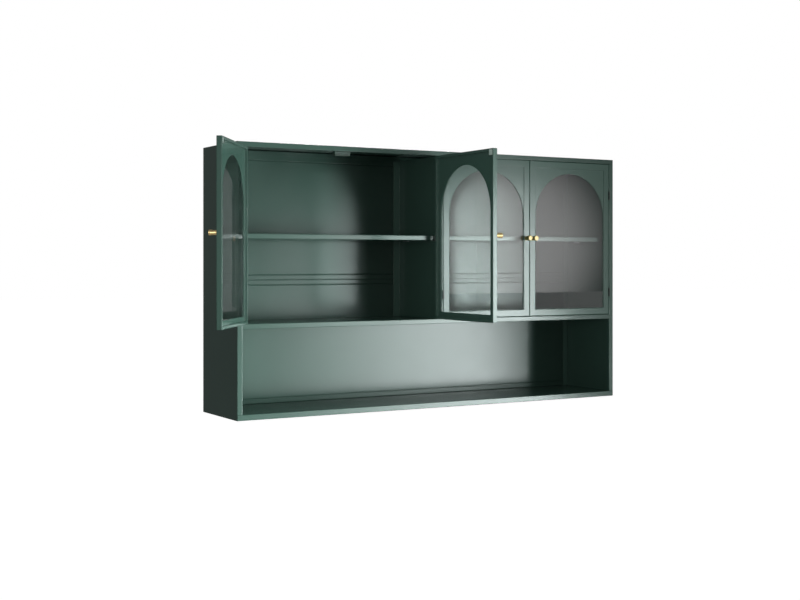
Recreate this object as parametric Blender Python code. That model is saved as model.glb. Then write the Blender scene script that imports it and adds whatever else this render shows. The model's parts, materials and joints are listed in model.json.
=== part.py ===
"""Wall cabinet in folded sheet steel, with four arched glass doors above an open bay.

Units are metres and +Z is up. The wall is the plane Y = 0, the doors face -Y, X = 0 is the
middle of the cabinet and Z = 0 is the line on which the wall screws carry its keyholes. Left and
right are those of someone who faces the doors. The two left doors stand open, the two right doors
are shut.
"""

import math

import bmesh
import bpy
from mathutils import Matrix

# Cabinet
WIDTH = 1.500
DEPTH = 0.290
HEIGHT = 0.875
LOWER_BAY = 0.2685  # clear height of the open bay under the doors

# Folded sheet
SHEET = 0.0008
BEND_INSIDE = 0.0004  # inside radius of a fold
BEND_STEPS = 3
CLEAR = 0.0003  # gap that seated pieces keep
SIDE_EDGE = 0.018  # front edges, as seen from the front
TOP_EDGE = 0.016
BOTTOM_EDGE = 0.018
DECK_EDGE = 0.016
PARTITION_WIDTH = 0.018
EDGE_RETURN = 0.014  # how far a front edge folds back inside
TOP_RETURN = 0.040  # deeper, because it carries the catches
HEM_FLAT = 0.0008  # between the two bends of a hemmed back edge
BACK_FLANGE = 0.025  # on the sides and the partition, in front of the back panels
TOP_FLANGE = 0.018

# Back panels
BACK_INSET = 0.019  # from the wall to the flanges
SEAM_HEIGHT = 0.4360  # joint of the two panels, above the underside
SEAM_FLANGE = 0.008  # both panels turn back at the joint
SEAM_LIP = 0.008  # the lower one also turns up there, behind the upper one
GROOVE = 0.0022  # width of the grooves pressed into the panels
GROOVE_DEPTH = 0.003
GROOVE_INSET = 0.016  # from the joint, the top's flange and the floor
WALL_FLANGE = 0.060  # height of the flanges that lie on the wall
HANG_DROP = 0.040  # wall screws below the top
HANG_OUTER = 0.060  # outer keyholes, from the outside of the cabinet
HANG_INNER = 0.045  # inner keyholes, from the middle
KEYHOLE_ENTRY = 0.006  # radius that lets the screw's head in
KEYHOLE_SLOT = 0.003  # radius of the slot that hangs on its neck
KEYHOLE_FALL = 0.013  # from the slot's end down to the middle of the entry

# Shelves and their clips
SHELF_RISE = 0.2845  # top of a shelf above the deck
SHELF_EDGE = 0.016
SHELF_DOOR_GAP = 0.007  # behind the shut doors
SHELF_BACK_GAP = 0.008  # in front of the back flanges
CLIP_SHEET = 0.0012
CLIP_WIDTH = 0.006  # of the gap between the shelf and the wall
CLIP_LENGTH = 0.016
CLIP_TAB = 0.010  # how far the tab reaches under the shelf
CLIP_DROP = 0.0005  # top of the clip below the shelf's
CLIP_INSET = 0.045  # rear clips, from the back of the shelf

# Doors
DOOR_DEPTH = 0.016
DOOR_SKIN = 0.001
DOOR_GAP = 0.0012
STILE = 0.024  # width of the raised frame at the sides and the top
RAIL = 0.0225  # its height at the foot
RECESS = 0.0015  # arched plate behind the face of the frame
GLASS = 0.005
GLASS_LAP = 0.008  # glass behind the frame, on each side
ARCH_STRIP = 0.002  # arched plate left beside and below the opening
ARCH_DROP = 0.0178  # crown of the arch below the top rail
ARCH_STEPS = 40
BACK_RIM = 0.009  # width of the raised rim of the rear pressing
OPEN_ANGLES = {"left_outer": 125, "left_inner": 89, "right_inner": 0, "right_outer": 0}

# Hinges
HINGE_GAP = 0.0012  # between a door and the frame, with the pin in the middle
LEAF = 0.0008
LEAF_HEIGHT = 0.030
LEAF_REACH = 0.0125  # from the pin to the back of the leaf
HINGE_PLAY = 0.0004  # between the knuckles and in their notches
BARREL_RADIUS = 0.003
PIN_RADIUS = 0.0015
HINGE_DROP = 0.1158  # middle of the upper hinge below the door's top
HINGE_RISE = 0.0813  # middle of the lower hinge above the door's foot
ROUND_STEPS = 20

# Knobs
KNOB_RADIUS = 0.0085
KNOB_LENGTH = 0.024
KNOB_WAIST = 0.0068
KNOB_HEAD = 0.011  # length of the full-width head
KNOB_DISH = 0.0055  # radius of the dished face
KNOB_DISH_DEPTH = 0.0008
KNOB_ROUND = 0.001
KNOB_INSET = 0.0125  # from the free edge
KNOB_RISE = 0.2778  # above the door's foot
KNOB_STEPS = 28

# Catches and strikes
STRIKE = 0.018
STRIKE_SHEET = 0.0012
STRIKE_INSET = 0.013  # middle of the strike from the free edge
STRIKE_DROP = 0.0125  # and below the door's top
STRIKE_MARGIN = 0.002  # of the raised corner that carries it
CATCH_WIDTH = 0.060
CATCH_TAPER = 0.004  # each end, from top to bottom
CATCH_DROP = 0.0135
CATCH_DEPTH = 0.015
CATCH_GAP = 0.0005  # magnets to strike
MAGNET_WIDTH = 0.014
MAGNET_HEIGHT = 0.006
MAGNET_DEPTH = 0.005

# Places that follow from the sizes
PAST = 0.005  # how far a cutter runs past what it cuts
BEND = BEND_INSIDE + SHEET
HEM = 2 * BEND + HEM_FLAT
TOP = HANG_DROP
UNDERSIDE = TOP - HEIGHT
FRONT = -DEPTH
FLOOR_TOP = UNDERSIDE + BOTTOM_EDGE
DECK_UNDER = FLOOR_TOP + LOWER_BAY
DECK_TOP = DECK_UNDER + DECK_EDGE
HEAD = TOP - TOP_EDGE  # underside of the top's front edge
SKIN_X = WIDTH / 2 - SHEET  # inner face of a side
BAY_X = WIDTH / 2 - SIDE_EDGE  # inner edge of a side's front edge
POST_X = PARTITION_WIDTH / 2
PANEL_X = SKIN_X - 2 * CLEAR  # ends of the top, deck and bottom
FLANGE_BACK = -BACK_INSET
FLANGE_FRONT = FLANGE_BACK - SHEET
PANEL_FRONT = FLANGE_BACK + CLEAR  # face of the back panels, behind the flanges
BACK_X = WIDTH / 2 - HEM - CLEAR  # ends of the back panels, inside the hems of the sides
SEAM = UNDERSIDE + SEAM_HEIGHT

DOOR_WIDTH = (BAY_X - POST_X - 2 * HINGE_GAP - DOOR_GAP) / 2
DOOR_FOOT = DECK_TOP + DOOR_GAP
DOOR_HEIGHT = HEAD - DOOR_GAP - DOOR_FOOT
DOOR_NEAR = HINGE_GAP / 2  # hinge edge and free edge, from the pin
DOOR_FAR = DOOR_NEAR + DOOR_WIDTH
GLASS_FRONT = RECESS + DOOR_SKIN + CLEAR
BACK_PLATE = GLASS_FRONT + GLASS + CLEAR
HINGE_FEET = (
    DOOR_HEIGHT - HINGE_DROP - LEAF_HEIGHT / 2,
    HINGE_RISE - LEAF_HEIGHT / 2,
)
PIN_X = {
    "left_outer": -BAY_X + DOOR_NEAR,
    "left_inner": -POST_X - DOOR_NEAR,
    "right_inner": POST_X + DOOR_NEAR,
    "right_outer": BAY_X - DOOR_NEAR,
}
# 1 where the door runs to +X from its pin, -1 where it runs to -X
DOOR_RUN = {"left_outer": 1, "left_inner": -1, "right_inner": 1, "right_outer": -1}
COMPARTMENTS = {"left": -1, "right": 1}
PAIR_X = (BAY_X + POST_X) / 2  # where two doors meet

SHELF_TOP = DECK_TOP + SHELF_RISE
SHELF_UNDER = SHELF_TOP - SHELF_EDGE
SHELF_FRONT = FRONT + DOOR_DEPTH + SHELF_DOOR_GAP
SHELF_BACK = FLANGE_FRONT - SHELF_BACK_GAP
SHELF_END_GAP = CLIP_WIDTH + 2 * CLEAR


# Shapes

def finished(bm):
    """The bmesh as a mesh whose faces point out."""
    bmesh.ops.recalc_face_normals(bm, faces=bm.faces)
    mesh = bpy.data.meshes.new("shape")
    bm.to_mesh(mesh)
    bm.free()
    return mesh


def edge_name(edge, low):
    """The two sides of a box that meet in this edge, such as y0z1 for the front and the top."""
    first, second = (vert.co for vert in edge.verts)
    names = []
    for axis, letter in enumerate("xyz"):
        if abs(first[axis] - second[axis]) < 1e-7:
            names.append(letter + ("0" if abs(first[axis] - low[axis]) < 1e-7 else "1"))
    return "".join(names)


def box(low, high, folds=(), radius=0.0):
    """A box between two corners, with the named edges rounded."""
    bm = bmesh.new()
    bmesh.ops.create_cube(bm, size=1.0)
    for vert in bm.verts:
        vert.co = [high[axis] if vert.co[axis] > 0 else low[axis] for axis in range(3)]
    rounded = [edge for edge in bm.edges if edge_name(edge, low) in folds]
    if rounded:
        bmesh.ops.bevel(
            bm, geom=rounded, offset=radius, segments=BEND_STEPS, profile=0.5, affect="EDGES"
        )
    return finished(bm)


def prism(outline, axis, start, end):
    """An outline pushed along an axis. Its points hold the other two coordinates."""
    bm = bmesh.new()
    rings = []
    for level in (start, end):
        ring = []
        for pair in outline:
            point = list(pair)
            point.insert(axis, level)
            ring.append(bm.verts.new(point))
        bm.faces.new(ring)
        rings.append(ring)
    first, second = rings
    for i in range(len(outline)):
        bm.faces.new((first[i - 1], first[i], second[i], second[i - 1]))
    return finished(bm)


def circle(radius, centre=(0.0, 0.0), steps=ROUND_STEPS):
    """Points of a circle."""
    angles = [2 * math.pi * i / steps for i in range(steps)]
    return [(centre[0] + radius * math.cos(a), centre[1] + radius * math.sin(a)) for a in angles]


def turned(profile, steps):
    """A turned solid about the Y axis, from (radius, Y) points that run from end to end."""
    bm = bmesh.new()
    rings = []
    for radius, y in profile:
        rings.append([bm.verts.new((x, y, z)) for x, z in circle(radius, steps=steps)])
    bm.faces.new(rings[0])
    bm.faces.new(rings[-1])
    for first, second in zip(rings, rings[1:]):
        for i in range(steps):
            bm.faces.new((first[i - 1], first[i], second[i], second[i - 1]))
    return finished(bm)


def direction(start, end):
    """The unit vector from one point to another."""
    length = math.dist(start, end)
    return (end[0] - start[0]) / length, (end[1] - start[1]) / length


def folded(path, side, sheet=SHEET):
    """The outline of a sheet with square folds. The path is one of its faces.

    The sheet lies on the left of the path where side is 1, and on the right where it is -1.
    """
    def across(point, heading):
        return point[0] - side * sheet * heading[1], point[1] + side * sheet * heading[0]

    near = [path[0]]
    far = [across(path[0], direction(path[0], path[1]))]
    for before, corner, after in zip(path, path[1:], path[2:]):
        come = direction(before, corner)
        leave = direction(corner, after)
        turn = 1 if come[0] * leave[1] - come[1] * leave[0] > 0 else -1
        inside, outside = BEND_INSIDE, BEND_INSIDE + sheet
        near_radius = outside if turn == side else inside
        far_radius = inside if turn == side else outside
        centre = [corner[k] + near_radius * (leave[k] - come[k]) for k in (0, 1)]
        for step in range(BEND_STEPS + 1):
            angle = math.pi / 2 * step / BEND_STEPS
            ray = [math.sin(angle) * come[k] - math.cos(angle) * leave[k] for k in (0, 1)]
            near.append([centre[k] + near_radius * ray[k] for k in (0, 1)])
            far.append([centre[k] + far_radius * ray[k] for k in (0, 1)])
    near.append(path[-1])
    far.append(across(path[-1], direction(path[-2], path[-1])))
    return near + far[::-1]


def combined(operation, mesh, others):
    """The mesh after exact Booleans with the other meshes, which are used up."""
    body = bpy.data.objects.new("body", mesh)
    bpy.context.scene.collection.objects.link(body)
    helpers = [body]
    for other in others:
        helper = bpy.data.objects.new("helper", other)
        bpy.context.scene.collection.objects.link(helper)
        helpers.append(helper)
        modifier = body.modifiers.new(operation, "BOOLEAN")
        modifier.operation = operation
        modifier.solver = "EXACT"
        modifier.object = helper
    graph = bpy.context.evaluated_depsgraph_get()
    result = bpy.data.meshes.new_from_object(body.evaluated_get(graph))
    for helper in helpers:
        used = helper.data
        bpy.data.objects.remove(helper)
        bpy.data.meshes.remove(used)
    return result


def cut(mesh, *cutters):
    """The mesh less the cutters."""
    return combined("DIFFERENCE", mesh, cutters)


def joined(mesh, *others):
    """The mesh and the others as one body."""
    return combined("UNION", mesh, others)


def mirrored(mesh):
    """A copy of the mesh, turned left for right."""
    copy = mesh.copy()
    copy.transform(Matrix.Scale(-1, 4, (1, 0, 0)))
    copy.flip_normals()
    return copy


def smooth(mesh):
    """Smooth shading, with sharp edges kept."""
    mesh.shade_smooth()
    mesh.set_sharp_from_angle(angle=math.radians(35))
    return mesh


def material(name, colour, roughness, metallic=0.0, transmission=0.0):
    """A plain Principled material."""
    result = bpy.data.materials.new(name)
    result.use_nodes = True
    shader = result.node_tree.nodes["Principled BSDF"]
    shader.inputs["Base Color"].default_value = (*colour, 1.0)
    shader.inputs["Roughness"].default_value = roughness
    shader.inputs["Metallic"].default_value = metallic
    shader.inputs["Transmission Weight"].default_value = transmission
    return result


def add(name, mesh, finish, location=(0.0, 0.0, 0.0), parent=None):
    """A named piece of the cabinet."""
    if not mesh.materials:
        mesh.materials.append(finish)
    piece = bpy.data.objects.new(name, mesh)
    piece.location = location
    piece.parent = parent
    bpy.context.scene.collection.objects.link(piece)
    return piece


# Carcass

def hinge_notches(pin_x):
    """Cutters that clear the two hinge barrels on a pin line."""
    radius = BARREL_RADIUS + HINGE_PLAY
    cutters = []
    for foot in HINGE_FEET:
        low = DOOR_FOOT + foot - HINGE_PLAY
        high = DOOR_FOOT + foot + LEAF_HEIGHT + HINGE_PLAY
        cutters.append(prism(circle(radius, (pin_x, FRONT)), 2, low, high))
    return cutters


def side_panel():
    """The left side: one sheet folded to a front edge with a return, a back hem and a flange."""
    outside = -WIDTH / 2
    path = [
        (-BAY_X, FRONT + EDGE_RETURN),
        (-BAY_X, FRONT),
        (outside, FRONT),
        (outside, 0.0),
        (outside + HEM, 0.0),
        (outside + HEM, FLANGE_BACK),
        (outside + BACK_FLANGE, FLANGE_BACK),
    ]
    mesh = prism(folded(path, -1), 2, UNDERSIDE, TOP)
    inside = -SKIN_X + CLEAR
    front_end = FRONT + EDGE_RETURN + PAST
    back_end = FLANGE_FRONT - PAST
    flange_end = outside + BACK_FLANGE + PAST
    floor_cut = FLOOR_TOP + CLEAR
    flange_cut = TOP - TOP_FLANGE - CLEAR
    return cut(
        mesh,
        box((inside, FRONT - PAST, HEAD - CLEAR), (-BAY_X + PAST, front_end, TOP + PAST)),
        box((inside, FRONT - PAST, UNDERSIDE - PAST), (-BAY_X + PAST, front_end, floor_cut)),
        box((inside, back_end, flange_cut), (flange_end, PAST, TOP + PAST)),
        box((inside, back_end, UNDERSIDE - PAST), (flange_end, PAST, floor_cut)),
        *hinge_notches(PIN_X["left_outer"]),
    )


def level_panel(top, edge, back):
    """A level sheet folded down to a front edge with a return, and to a back flange."""
    path = [
        (FRONT + EDGE_RETURN, top - edge),
        (FRONT, top - edge),
        (FRONT, top),
        (back, top),
        (back, top - edge),
    ]
    return prism(folded(path, -1), 0, -PANEL_X, PANEL_X)


def top_panel():
    """The top: folded like the sides, with a deep return and a flange behind."""
    path = [
        (FRONT + TOP_RETURN, HEAD),
        (FRONT, HEAD),
        (FRONT, TOP),
        (0.0, TOP),
        (0.0, TOP - HEM),
        (FLANGE_BACK, TOP - HEM),
        (FLANGE_BACK, TOP - TOP_FLANGE),
    ]
    return prism(folded(path, -1), 0, -PANEL_X, PANEL_X)


def deck_panel():
    """The floor of the upper part, let in between the front edges of the sides."""
    back = FLANGE_FRONT - CLEAR
    mesh = level_panel(DECK_TOP, DECK_EDGE, back)
    corners = []
    for side in COMPARTMENTS.values():
        ends = sorted((side * (PANEL_X + PAST), side * (BAY_X - CLEAR)))
        low = (ends[0], FRONT - PAST, DECK_UNDER - PAST)
        high = (ends[1], FRONT + EDGE_RETURN + CLEAR, DECK_TOP + PAST)
        corners.append(box(low, high))
    return cut(mesh, *corners)


def centre_partition():
    """One sheet folded to a hollow post that is open behind, with a flange on each side."""
    path = [
        (-POST_X - BACK_FLANGE, FLANGE_FRONT),
        (-POST_X, FLANGE_FRONT),
        (-POST_X, FRONT),
        (POST_X, FRONT),
        (POST_X, FLANGE_FRONT),
        (POST_X + BACK_FLANGE, FLANGE_FRONT),
    ]
    mesh = prism(folded(path, 1), 2, DECK_TOP + CLEAR, HEAD - CLEAR)
    reach = POST_X + BACK_FLANGE + PAST
    top_flange = box(
        (-reach, FLANGE_FRONT - CLEAR - BEND, TOP - TOP_FLANGE - CLEAR), (reach, PAST, TOP)
    )
    left, right = hinge_notches(PIN_X["left_inner"]), hinge_notches(PIN_X["right_inner"])
    return cut(mesh, top_flange, *left, *right)


def groove(low, high):
    """Path points of a groove pressed back into a panel between two heights."""
    bottom = PANEL_FRONT + GROOVE_DEPTH
    return [(PANEL_FRONT, low), (bottom, low), (bottom, high), (PANEL_FRONT, high)]


def back_panel(seam_edge, far_edge, groove_edge, lip=0.0):
    """A back panel: one sheet, turned back at the joint, grooved, and folded to a wall flange.

    The lower panel also has a lip, which turns towards the upper one.
    """
    up = 1 if far_edge > seam_edge else -1
    turned_back = PANEL_FRONT + SEAM_FLANGE
    path = [(turned_back, seam_edge)]
    if lip:
        behind = turned_back + CLEAR
        path = [(behind, seam_edge - up * lip), (behind, seam_edge)]
    path.append((PANEL_FRONT, seam_edge))
    near = seam_edge + up * GROOVE_INSET
    path += groove(near, near + up * GROOVE)
    far = groove_edge - up * GROOVE_INSET
    path += groove(far - up * GROOVE, far)
    path.append((PANEL_FRONT, far_edge))
    path.append((0.0, far_edge))
    path.append((0.0, far_edge - up * WALL_FLANGE))
    return prism(folded(path, -up), 0, -BACK_X, BACK_X)


def keyholes():
    """Cutters for the four keyholes in the upper flange on the wall."""
    cutters = []
    for x in (-WIDTH / 2 + HANG_OUTER, -HANG_INNER, HANG_INNER, WIDTH / 2 - HANG_OUTER):
        entry = circle(KEYHOLE_ENTRY, (x, -KEYHOLE_FALL))
        slot = [(x - KEYHOLE_SLOT, -KEYHOLE_FALL), (x + KEYHOLE_SLOT, -KEYHOLE_FALL)]
        slot += [point for point in circle(KEYHOLE_SLOT, (x, 0.0)) if point[1] >= -CLEAR]
        cutters.append(prism(entry, 1, -SHEET - PAST, PAST))
        cutters.append(prism(slot, 1, -SHEET - PAST, PAST))
    return cutters


def add_carcass(paint):
    """The eight folded panels."""
    side = side_panel()
    add("left_side_panel", side, paint)
    add("right_side_panel", mirrored(side), paint)
    add("top_panel", top_panel(), paint)
    add("bottom_panel", level_panel(FLOOR_TOP, BOTTOM_EDGE, 0.0), paint)
    add("deck_panel", deck_panel(), paint)
    add("centre_partition", centre_partition(), paint)
    upper = back_panel(SEAM + CLEAR / 2, TOP - HEM - CLEAR, TOP - TOP_FLANGE)
    add("back_panel_upper", cut(upper, *keyholes()), paint)
    lower = back_panel(SEAM - CLEAR / 2, FLOOR_TOP + CLEAR, FLOOR_TOP, SEAM_LIP)
    add("back_panel_lower", lower, paint)


# Shelves

def shelf(left, right):
    """A tray turned upside down, with a return behind its front edge."""
    low = (left, SHELF_FRONT, SHELF_UNDER)
    high = (right, SHELF_BACK, SHELF_TOP)
    folds = ("x0y0", "x1y0", "x0y1", "x1y1", "x0z1", "x1z1", "y0z1", "y1z1", "y0z0")
    hollow = [
        (SHELF_FRONT + SHEET, SHELF_UNDER + SHEET),
        (SHELF_FRONT + EDGE_RETURN, SHELF_UNDER + SHEET),
        (SHELF_FRONT + EDGE_RETURN, SHELF_UNDER - PAST),
        (SHELF_BACK - SHEET, SHELF_UNDER - PAST),
        (SHELF_BACK - SHEET, SHELF_TOP - SHEET),
        (SHELF_FRONT + SHEET, SHELF_TOP - SHEET),
    ]
    return cut(box(low, high, folds, BEND), prism(hollow, 0, left + SHEET, right - SHEET))


def clip(wall, out, front):
    """A clip in the gap beside a shelf: a plate on the wall, a front, and a tab under the shelf."""
    face = wall + out * CLEAR
    tab = SHELF_UNDER - CLEAR - CLIP_SHEET
    plan = [(face, front + CLIP_LENGTH), (face, front), (face + out * CLIP_WIDTH, front)]
    angle = prism(folded(plan, out, CLIP_SHEET), 2, tab, SHELF_TOP - CLIP_DROP)
    left, right = sorted((face, face + out * (CLIP_WIDTH + CLIP_TAB)))
    low = (left, front, tab)
    high = (right, front + CLIP_LENGTH, tab + CLIP_SHEET)
    return joined(angle, box(low, high))


def add_shelves(paint, steel):
    """A shelf on four clips in each compartment."""
    for name, side in COMPARTMENTS.items():
        left, right = sorted((side * SKIN_X, side * POST_X))
        mesh = shelf(left + SHELF_END_GAP, right - SHELF_END_GAP)
        add(f"{name}_shelf", mesh, paint)
        fronts = {
            "front": SHELF_FRONT,
            "rear": SHELF_BACK - CLIP_INSET - CLIP_LENGTH,
        }
        for row, front in fronts.items():
            add(f"{name}_shelf_{row}_left_clip", clip(left, 1, front), steel)
            add(f"{name}_shelf_{row}_right_clip", clip(right, -1, front), steel)


# Catches

def add_catches(plastic, magnet_steel):
    """Under the top, a double magnetic catch for each pair of doors."""
    front = FRONT + DOOR_DEPTH + CLEAR + STRIKE_SHEET + CATCH_GAP
    high = HEAD - CLEAR
    low = HEAD - CATCH_DROP
    middle = HEAD - (STRIKE_DROP + DOOR_GAP + CATCH_DROP) / 2 + STRIKE / 4
    half = CATCH_WIDTH / 2
    for name, side in COMPARTMENTS.items():
        x = side * PAIR_X
        outline = [
            (x - half, high),
            (x + half, high),
            (x + half - CATCH_TAPER, low),
            (x - half + CATCH_TAPER, low),
        ]
        pockets = []
        for place, way in COMPARTMENTS.items():
            centre = x + way * (DOOR_GAP / 2 + STRIKE_INSET)
            sizes = (MAGNET_WIDTH / 2, MAGNET_HEIGHT / 2)
            magnet = box(
                (centre - sizes[0], front, middle - sizes[1]),
                (centre + sizes[0], front + MAGNET_DEPTH, middle + sizes[1]),
            )
            add(f"{name}_catch_{place}_magnet", magnet, magnet_steel)
            pockets.append(
                box(
                    (centre - sizes[0] - CLEAR, front - PAST, middle - sizes[1] - CLEAR),
                    (
                        centre + sizes[0] + CLEAR,
                        front + MAGNET_DEPTH + CLEAR,
                        middle + sizes[1] + CLEAR,
                    ),
                )
            )
        housing = cut(prism(outline, 1, front, front + CATCH_DEPTH), *pockets)
        add(f"{name}_catch_housing", housing, plastic)


# Doors, modelled shut, with the pin at X = Y = 0 and the door's foot at Z = 0

def arch_cutter(front, back):
    """The arched opening, cut through between two depths."""
    left = DOOR_NEAR + STILE + ARCH_STRIP
    right = DOOR_FAR - STILE - ARCH_STRIP
    radius = (right - left) / 2
    spring = DOOR_HEIGHT - STILE - ARCH_DROP - radius
    middle = (left + right) / 2
    foot = RAIL + ARCH_STRIP
    outline = [(left, foot), (right, foot)]
    for step in range(ARCH_STEPS + 1):
        angle = math.pi * step / ARCH_STEPS
        outline.append((middle + radius * math.cos(angle), spring + radius * math.sin(angle)))
    return prism(outline, 1, front, back)


def inset_box(inset, front, back, foot=None):
    """A box whose outline lies inside the door's by the inset. Its foot can have its own."""
    low = (DOOR_NEAR + inset, front, inset if foot is None else foot)
    high = (DOOR_FAR - inset, back, DOOR_HEIGHT - inset)
    return box(low, high)


def back_field(inset, front, back):
    """A box inside the rim of the rear pressing, less the raised corner for the strike."""
    reach = STRIKE / 2 + STRIKE_MARGIN + inset - BACK_RIM
    left = DOOR_FAR - STRIKE_INSET - reach
    foot = DOOR_HEIGHT - STRIKE_DROP - reach
    corner = box((left, front - PAST, foot), (DOOR_FAR, back + PAST, DOOR_HEIGHT))
    return cut(inset_box(inset, front, back), corner)


def door_shell():
    """The front pressing: a raised frame with deep edges round a recessed arched plate."""
    folds = ("x0y0", "x1y0", "y0z0", "y0z1", "x0z0", "x1z0", "x0z1", "x1z1")
    block = box(
        (DOOR_NEAR, 0.0, 0.0), (DOOR_FAR, DOOR_DEPTH, DOOR_HEIGHT), folds, BEND_INSIDE + DOOR_SKIN
    )
    hollow = cut(
        inset_box(DOOR_SKIN, DOOR_SKIN, DOOR_DEPTH + PAST),
        inset_box(STILE - DOOR_SKIN, -PAST, RECESS + DOOR_SKIN, RAIL - DOOR_SKIN),
    )
    notches = []
    for foot in HINGE_FEET:
        low, high = foot - HINGE_PLAY, foot + LEAF_HEIGHT + HINGE_PLAY
        notches.append(prism(circle(BARREL_RADIUS + HINGE_PLAY), 2, low, high))
    return cut(
        block,
        inset_box(STILE, -PAST, RECESS, RAIL),
        hollow,
        arch_cutter(RECESS / 2, GLASS_FRONT + GLASS / 2),
        *notches,
    )


def door_back():
    """The rear pressing: a narrow raised rim inside the shell, round the plate on the glass."""
    under_rim = cut(
        inset_box(-PAST, BACK_PLATE - PAST, DOOR_DEPTH - DOOR_SKIN),
        back_field(BACK_RIM - DOOR_SKIN, BACK_PLATE - 2 * PAST, DOOR_DEPTH),
    )
    return cut(
        inset_box(DOOR_SKIN + CLEAR, BACK_PLATE, DOOR_DEPTH),
        under_rim,
        back_field(BACK_RIM, BACK_PLATE + DOOR_SKIN, DOOR_DEPTH + PAST),
        arch_cutter(GLASS_FRONT + GLASS / 2, DOOR_DEPTH + PAST),
    )


def frame_leaf():
    """The leaf behind the frame's fold, with the lower knuckle and the pin."""
    left = -DOOR_NEAR - SHEET - CLEAR - LEAF
    plate_front = BARREL_RADIUS + HINGE_PLAY
    knuckle = (LEAF_HEIGHT - HINGE_PLAY) / 2
    return joined(
        box((left, plate_front, 0.0), (left + LEAF, LEAF_REACH, LEAF_HEIGHT)),
        box((left, BARREL_RADIUS / 3, LEAF), (left + LEAF, plate_front + LEAF, knuckle - LEAF)),
        prism(circle(BARREL_RADIUS), 2, 0.0, knuckle),
        prism(circle(PIN_RADIUS), 2, knuckle / 2, LEAF_HEIGHT - LEAF),
    )


def door_leaf():
    """The leaf inside the door's edge, with the upper knuckle bored for the pin."""
    left = DOOR_NEAR + DOOR_SKIN + CLEAR
    plate_front = BARREL_RADIUS + HINGE_PLAY
    knuckle = (LEAF_HEIGHT + HINGE_PLAY) / 2
    body = joined(
        box((left, plate_front, 0.0), (left + LEAF, LEAF_REACH, LEAF_HEIGHT)),
        box(
            (left, BARREL_RADIUS / 3, knuckle + LEAF),
            (left + LEAF, plate_front + LEAF, LEAF_HEIGHT - LEAF),
        ),
        prism(circle(BARREL_RADIUS), 2, knuckle, LEAF_HEIGHT),
    )
    return cut(body, prism(circle(PIN_RADIUS + CLEAR), 2, -PAST, LEAF_HEIGHT + PAST))


def knob():
    """A turned knob on a waisted neck, dished at its face. It stands out towards -Y."""
    shoulder = KNOB_LENGTH - KNOB_HEAD
    profile = [
        (KNOB_WAIST + KNOB_ROUND, 0.0),
        (KNOB_WAIST + KNOB_ROUND, -KNOB_ROUND),
        (KNOB_WAIST, -2 * KNOB_ROUND),
        (KNOB_WAIST, -shoulder + 2 * KNOB_ROUND),
        (KNOB_RADIUS - KNOB_ROUND, -shoulder + KNOB_ROUND / 2),
        (KNOB_RADIUS, -shoulder - KNOB_ROUND / 2),
        (KNOB_RADIUS, -KNOB_LENGTH + KNOB_ROUND),
        (KNOB_RADIUS - KNOB_ROUND / 3, -KNOB_LENGTH + KNOB_ROUND / 3),
        (KNOB_RADIUS - KNOB_ROUND, -KNOB_LENGTH),
        (KNOB_DISH, -KNOB_LENGTH),
        (KNOB_DISH - KNOB_DISH_DEPTH, -KNOB_LENGTH + KNOB_DISH_DEPTH),
    ]
    return smooth(turned(profile, KNOB_STEPS))


def add_doors(paint, glass, brass, steel, magnet_steel):
    """Four doors, each under an empty on its pin."""
    low = DOOR_NEAR + STILE - GLASS_LAP
    high = DOOR_FAR - STILE + GLASS_LAP
    foot = RAIL - GLASS_LAP
    pane = box(
        (low, GLASS_FRONT, foot), (high, GLASS_FRONT + GLASS, DOOR_HEIGHT - STILE + GLASS_LAP)
    )
    strike_x = DOOR_FAR - STRIKE_INSET
    strike_z = DOOR_HEIGHT - STRIKE_DROP
    strike_y = DOOR_DEPTH + CLEAR
    strike = box(
        (strike_x - STRIKE / 2, strike_y, strike_z - STRIKE / 2),
        (strike_x + STRIKE / 2, strike_y + STRIKE_SHEET, strike_z + STRIKE / 2),
        ("x0z0", "x0z1", "x1z0", "x1z1"),
        STRIKE_SHEET,
    )
    shapes = {
        "shell": (door_shell(), paint),
        "glass": (pane, glass),
        "back": (door_back(), paint),
        "strike": (strike, magnet_steel),
    }
    mirror_shapes = {name: (mirrored(mesh), finish) for name, (mesh, finish) in shapes.items()}
    leaves = {1: (frame_leaf(), door_leaf())}
    leaves[-1] = tuple(mirrored(leaf) for leaf in leaves[1])
    knob_mesh = knob()
    for door, run in DOOR_RUN.items():
        pin = bpy.data.objects.new(f"{door}_door_pin", None)
        pin.location = (PIN_X[door], FRONT, DOOR_FOOT)
        pin.rotation_euler.z = -run * math.radians(OPEN_ANGLES[door])
        bpy.context.scene.collection.objects.link(pin)
        for name, (mesh, finish) in (shapes if run == 1 else mirror_shapes).items():
            add(f"{door}_door_{name}", mesh, finish, parent=pin)
        knob_place = (run * (DOOR_FAR - KNOB_INSET), -CLEAR, KNOB_RISE)
        add(f"{door}_door_knob", knob_mesh, brass, knob_place, pin)
        for level, hinge_foot in zip(("upper", "lower"), HINGE_FEET):
            carcass_half, door_half = leaves[run]
            place = (PIN_X[door], FRONT, DOOR_FOOT + hinge_foot)
            add(f"{door}_{level}_hinge_frame_leaf", carcass_half, steel, place)
            add(f"{door}_{level}_hinge_door_leaf", door_half, steel, (0.0, 0.0, hinge_foot), pin)


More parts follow.
